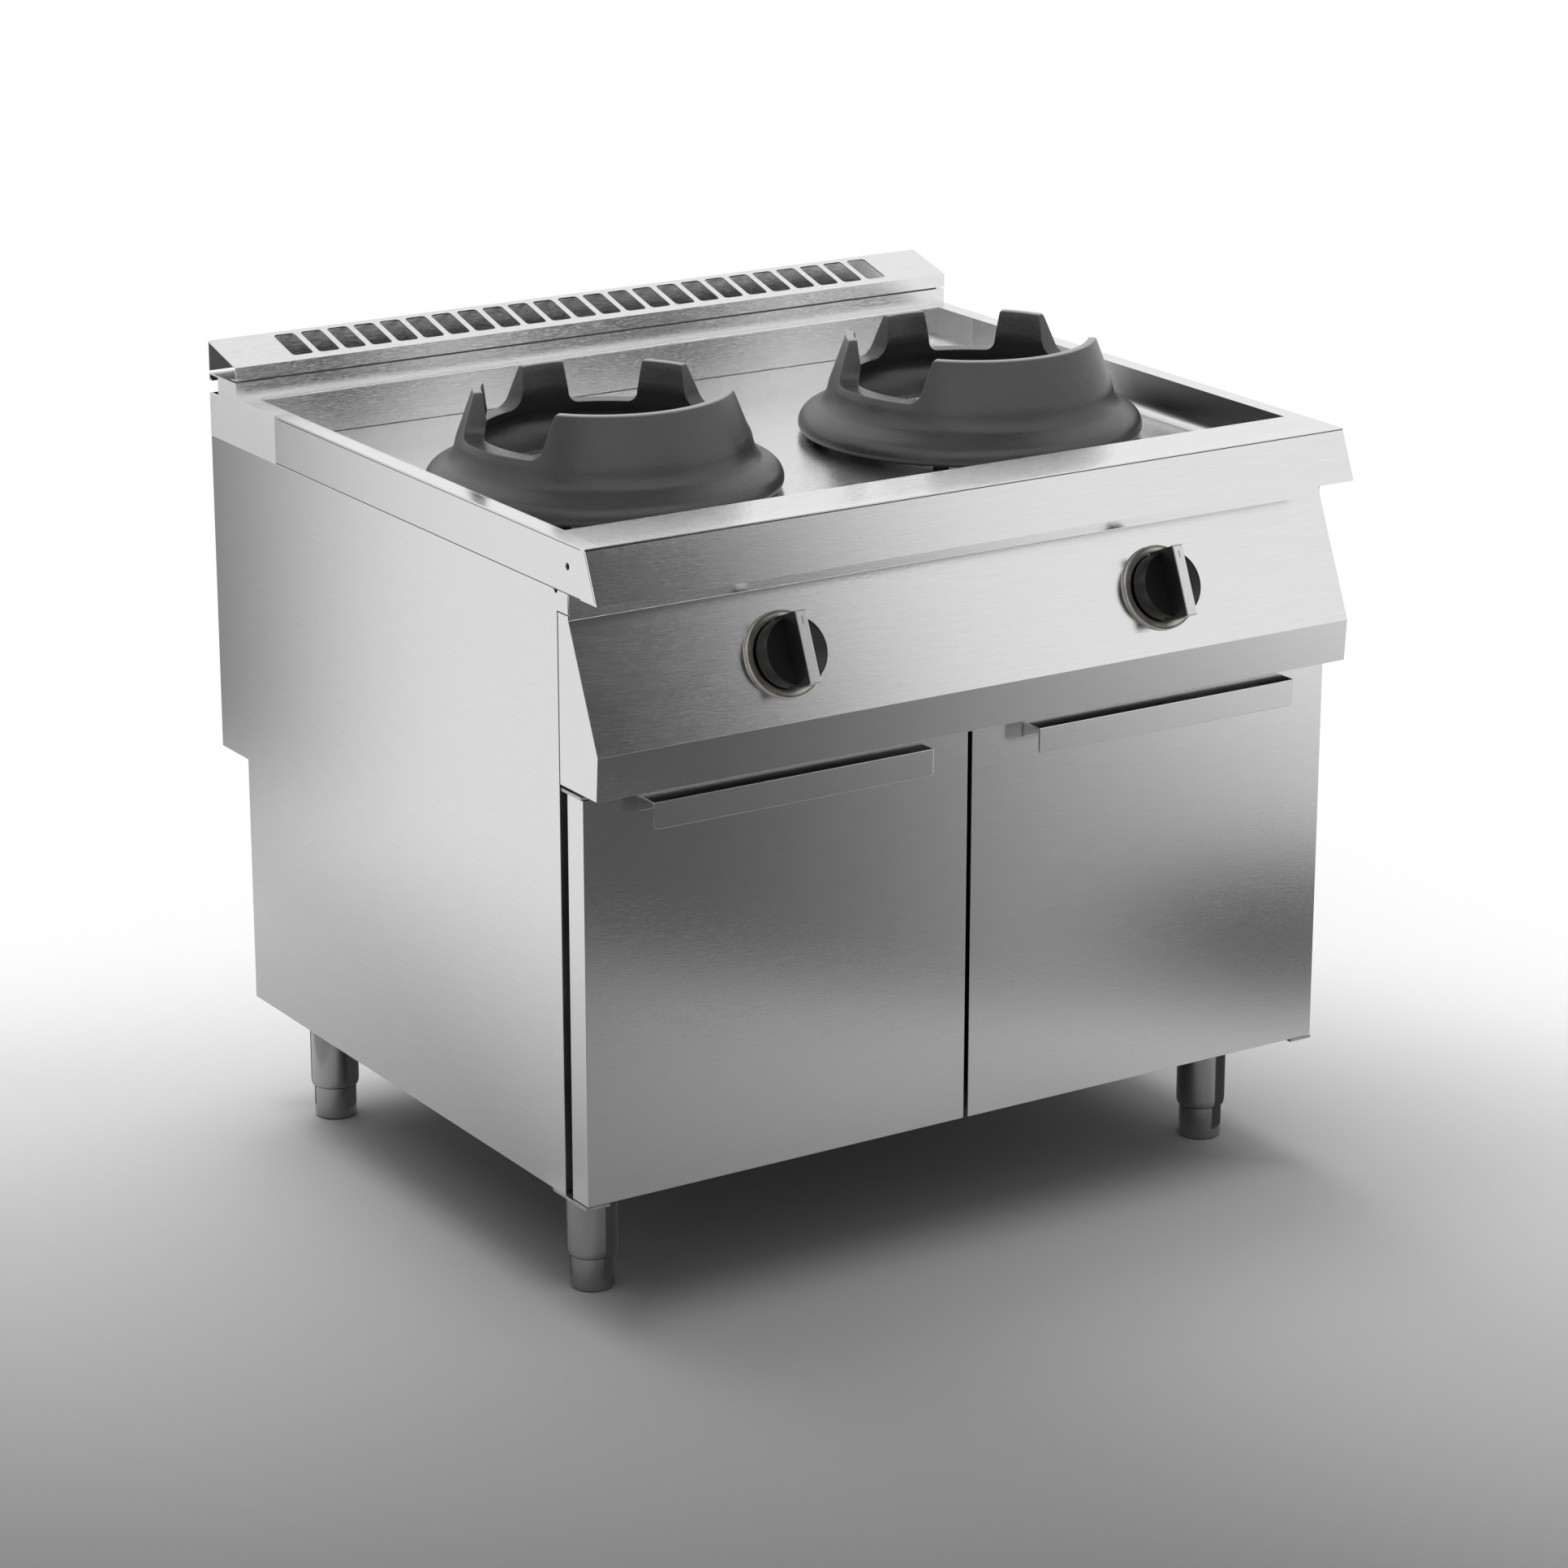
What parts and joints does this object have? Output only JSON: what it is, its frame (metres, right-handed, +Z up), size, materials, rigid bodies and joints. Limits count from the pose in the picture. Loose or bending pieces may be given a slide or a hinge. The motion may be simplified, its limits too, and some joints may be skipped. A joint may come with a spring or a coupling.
{
  "type": "wok range",
  "caption": "Free-standing stainless wok range with recessed worktop, lift-off cast wok rings, push-and-turn gas taps, slotted flue cover, hinged cupboard doors and screw-out feet.",
  "frame": {"origin": "middle of the range's footprint, with the grips of the knobs counted in the depth, on the floor under the feet", "axes": "+X along the width to the right as one faces the range, -Y towards the cook, +Z up; the range stands on the plane z = 0"},
  "size_m": [1, 0.9328, 0.959],
  "materials": {
    "stainless": "brushed",
    "inner_sheet": "dull rolled sheet",
    "cast_iron": "matt, fine grained",
    "burner_iron": "matt",
    "knob_plastic": "satin black",
    "bezel_metal": "satin anodised",
    "insert_metal": "satin",
    "gas_brass": "turned",
    "gas_steel": "drawn pipe",
    "hinge_steel": "zinc plated",
    "magnet": "matt",
    "foot_steel": "turned"
  },
  "bodies": {
    "cabinet": {"worktop": "stainless", "upstand": "stainless", "flue_cover": "stainless", "cover_spacer": "inner_sheet", "flue_duct": "inner_sheet", "side_panel_left": "stainless", "side_panel_right": "stainless", "back_panel": "stainless", "base_shelf": "stainless", "front_frame": "stainless", "heat_shield": "inner_sheet", "control_panel": "stainless", "bezel_left": "bezel_metal", "bezel_right": "bezel_metal", "leg_tubes": "stainless", "leg_flanges": "inner_sheet", "gas_rail": "gas_steel", "gas_valve_left": "gas_brass", "gas_valve_right": "gas_brass", "burner_beam": "inner_sheet", "burner_left": "burner_iron", "burner_right": "burner_iron", "burner_pipe_left": "gas_brass", "burner_pipe_right": "gas_brass", "pilot_left": "gas_brass", "pilot_right": "gas_brass", "hinge_plates": "hinge_steel", "hinge_pins": "hinge_steel", "door_magnets": "magnet"},
    "push_left": {"collar_left": "hinge_steel"},
    "knob_left": {"stem_left": "hinge_steel", "knob_left": "knob_plastic", "knob_insert_left": "insert_metal"},
    "door_left": {"door_skin_left": "stainless", "door_liner_left": "stainless", "door_handle_left": "stainless", "door_bushes_left": "hinge_steel", "door_keeper_left": "hinge_steel"},
    "ring_left": {"wok_ring_left": "cast_iron"},
    "foot_front_left": {"foot_front_left": "foot_steel"},
    "foot_rear_left": {"foot_rear_left": "foot_steel"},
    "push_right": {"collar_right": "hinge_steel"},
    "knob_right": {"stem_right": "hinge_steel", "knob_right": "knob_plastic", "knob_insert_right": "insert_metal"},
    "door_right": {"door_skin_right": "stainless", "door_liner_right": "stainless", "door_handle_right": "stainless", "door_bushes_right": "hinge_steel", "door_keeper_right": "hinge_steel"},
    "ring_right": {"wok_ring_right": "cast_iron"},
    "foot_front_right": {"foot_front_right": "foot_steel"},
    "foot_rear_right": {"foot_rear_right": "foot_steel"}
  },
  "joints": [
    {"name": "push_left", "type": "slide", "parent": "cabinet", "child": "push_left", "axis": [0, 0.9198, -0.3923], "range_m": [0, 0.004], "stiffness_N_per_m": 2500, "springref_m": -0.002},
    {"name": "turn_left", "type": "hinge", "parent": "push_left", "child": "knob_left", "pos_m": [-0.25, -0.40264, 0.738], "axis": [0, -0.9198, 0.3923], "range_deg": [0, 210]},
    {"name": "door_left", "type": "hinge", "parent": "cabinet", "child": "door_left", "pos_m": [-0.485, -0.37714, 0.149], "axis": [0, 0, 1], "range_deg": [-110, 0]},
    {"name": "lift_ring_left", "type": "slide", "parent": "cabinet", "child": "ring_left", "axis": [0, 0, 1], "range_m": [0, 0.12]},
    {"name": "push_right", "type": "slide", "parent": "cabinet", "child": "push_right", "axis": [0, 0.9198, -0.3923], "range_m": [0, 0.004], "stiffness_N_per_m": 2500, "springref_m": -0.002},
    {"name": "turn_right", "type": "hinge", "parent": "push_right", "child": "knob_right", "pos_m": [0.25, -0.40264, 0.738], "axis": [0, -0.9198, 0.3923], "range_deg": [0, 210]},
    {"name": "door_right", "type": "hinge", "parent": "cabinet", "child": "door_right", "pos_m": [0.485, -0.37714, 0.149], "axis": [0, 0, 1], "range_deg": [0, 110]},
    {"name": "lift_ring_right", "type": "slide", "parent": "cabinet", "child": "ring_right", "axis": [0, 0, 1], "range_m": [0, 0.12]},
    {"name": "level_front_left", "type": "slide", "parent": "cabinet", "child": "foot_front_left", "axis": [0, 0, 1], "range_m": [-0.015, 0.025]},
    {"name": "level_front_right", "type": "slide", "parent": "cabinet", "child": "foot_front_right", "axis": [0, 0, 1], "range_m": [-0.015, 0.025]},
    {"name": "level_rear_left", "type": "slide", "parent": "cabinet", "child": "foot_rear_left", "axis": [0, 0, 1], "range_m": [-0.015, 0.025]},
    {"name": "level_rear_right", "type": "slide", "parent": "cabinet", "child": "foot_rear_right", "axis": [0, 0, 1], "range_m": [-0.015, 0.025]}
  ]
}
